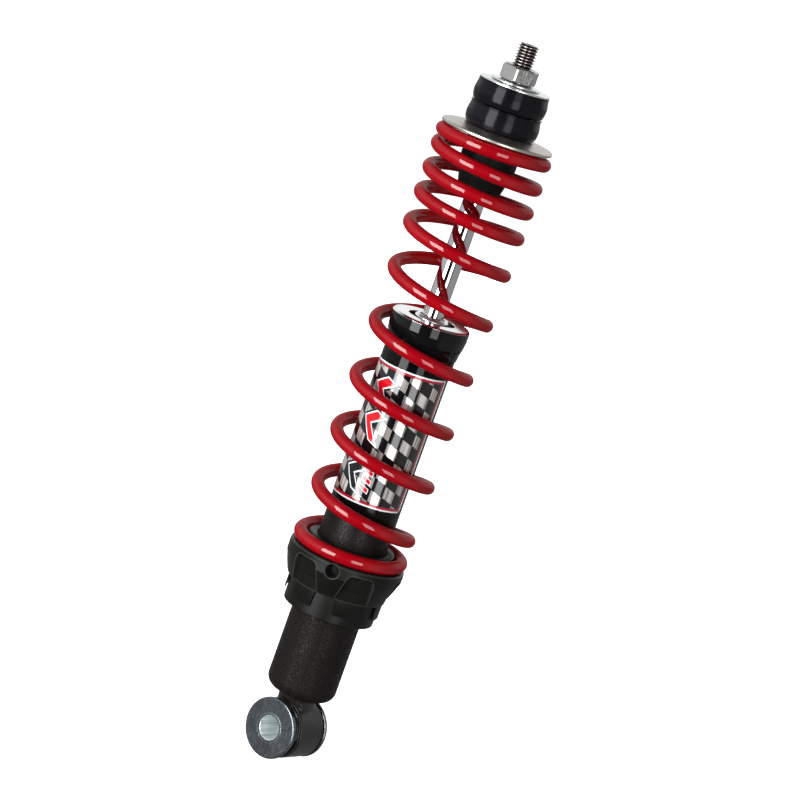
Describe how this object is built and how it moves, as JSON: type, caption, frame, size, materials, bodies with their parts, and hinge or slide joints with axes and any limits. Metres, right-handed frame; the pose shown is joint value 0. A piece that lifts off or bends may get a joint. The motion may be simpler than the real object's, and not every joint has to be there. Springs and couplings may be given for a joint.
{
  "type": "coil-over rear shock absorber",
  "caption": "Motorcycle rear shock absorber: red progressive coil spring over a gas damper, stud mount with rubber cushions on top, bushed eye below, stepped preload collar.",
  "frame": {"origin": "centre of the lower eye's bolt bore", "axes": "+Z along the shock's centre line towards the stud, Y along the eye's bolt"},
  "size_m": [0.06, 0.06, 0.3827],
  "materials": {
    "zinc_plate": "zinc plated, satin",
    "moulded_rubber": "moulded, slight sheen",
    "black_coat": "fine textured black coat",
    "label_film": "metallised printed film",
    "black_anodised": "black anodised, bright turned top",
    "chrome": "hard chrome, polished",
    "bright_steel": "bright, fine turned",
    "satin_plate": "satin plated",
    "red_coat": "gloss red powder coat",
    "bronze": "sintered bronze",
    "aluminium": "turned",
    "glide_band": "filled plastic band",
    "collar_black": "satin black"
  },
  "bodies": {
    "eye_bush": {"eye_sleeve": "zinc_plate", "eye_washer_front": "zinc_plate", "eye_washer_back": "zinc_plate"},
    "damper": {"eye_rubber": "moulded_rubber", "eye_ring": "black_coat", "damper_tube": "black_coat", "label": "label_film", "gland_cap": "black_anodised", "rod_wiper": "bright_steel", "oil_seal": "moulded_rubber", "seal_backing_ring": "aluminium", "rod_bush": "bronze", "gland_seal": "moulded_rubber", "cam_ring": "collar_black", "retaining_clip": "bright_steel"},
    "gas_piston": {"floating_piston": "aluminium", "floating_piston_seal": "moulded_rubber"},
    "spring": {"coil_spring": "red_coat"},
    "collar": {"preload_collar": "collar_black"},
    "rod": {"piston_rod": "chrome", "rebound_stop": "aluminium", "piston": "aluminium", "piston_band": "glide_band", "rebound_shims": "bright_steel", "compression_shims": "bright_steel", "piston_nut": "zinc_plate", "spring_seat": "satin_plate", "bump_stop": "moulded_rubber", "lower_cushion": "moulded_rubber", "upper_cushion": "moulded_rubber", "cushion_spacer": "bright_steel", "cup_washer": "bright_steel", "plain_washer": "bright_steel", "stud_nut": "zinc_plate"}
  },
  "joints": [
    {"name": "bush_twist", "type": "hinge", "parent": "eye_bush", "child": "damper", "pos_m": [0, 0, 0], "axis": [0, 1, 0], "range_deg": [-12, 12], "stiffness_Nm_per_rad": 40},
    {"name": "preload_lift", "type": "slide", "parent": "damper", "child": "spring", "axis": [0, 0, 1], "range_m": [0, 0.008]},
    {"name": "preload_turn", "type": "hinge", "parent": "spring", "child": "collar", "pos_m": [0, 0, 0.09], "axis": [0, 0, 1], "range_deg": [0, 96]},
    {"name": "shock_travel", "type": "slide", "parent": "spring", "child": "rod", "axis": [0, 0, 1], "range_m": [-0.064, 0], "stiffness_N_per_m": 20000, "springref_m": 0.012, "deforming": ["coil_spring"]},
    {"name": "gas_piston_slide", "type": "slide", "parent": "damper", "child": "gas_piston", "axis": [0, 0, 1], "range_m": [-0.0075, 0]}
  ],
  "couplings": [
    {"joint": "preload_turn", "follows": "preload_lift", "rad_per_m": 209.4},
    {"joint": "gas_piston_slide", "follows": "shock_travel", "ratio": 0.1139}
  ]
}
